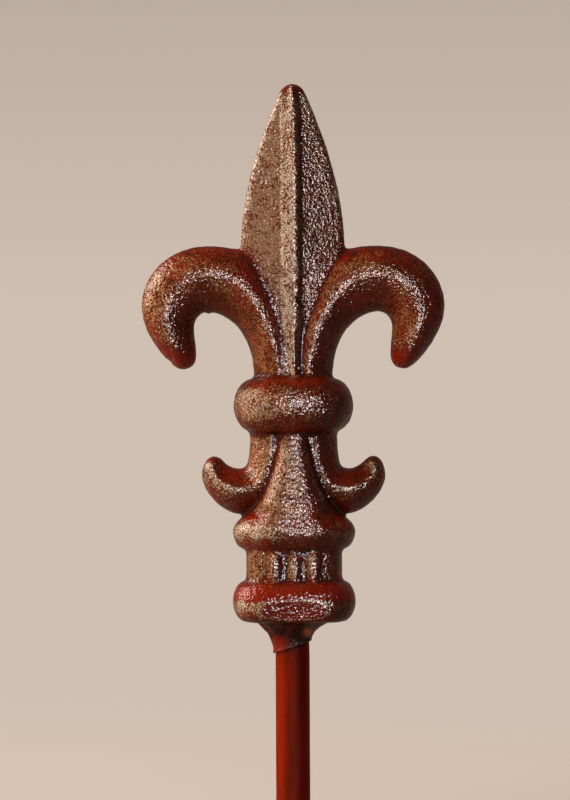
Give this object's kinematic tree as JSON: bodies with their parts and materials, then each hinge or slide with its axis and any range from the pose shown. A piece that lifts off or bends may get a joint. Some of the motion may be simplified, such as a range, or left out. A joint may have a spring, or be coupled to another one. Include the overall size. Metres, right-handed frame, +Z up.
{
  "type": "fleur-de-lis finial",
  "caption": "Cast fleur-de-lis finial with a ribbed spear blade, curled scrolls, upturned ears, a square collar and a reeded base, welded to a round bar.",
  "frame": {"origin": "centre of the round bar's cut lower end", "axes": "+Z up the bar to the tip of the blade, +X across the scrolls, -Y towards the face seen in the picture"},
  "size_m": [0.0849, 0.0344, 0.2104],
  "materials": {
    "cast_paint": "glossy red-brown enamel over coarse cast grain, misted with bronze and silver specks on the raised faces",
    "bar_paint": "glossy dark red enamel with brown streaks",
    "weld_paint": "glossy enamel over a weld bead, dark with soot and a spot of rust"
  },
  "bodies": {
    "root": {"finial_casting": "cast_paint", "bar": "bar_paint", "weld_bead": "weld_paint"}
  },
  "joints": []
}
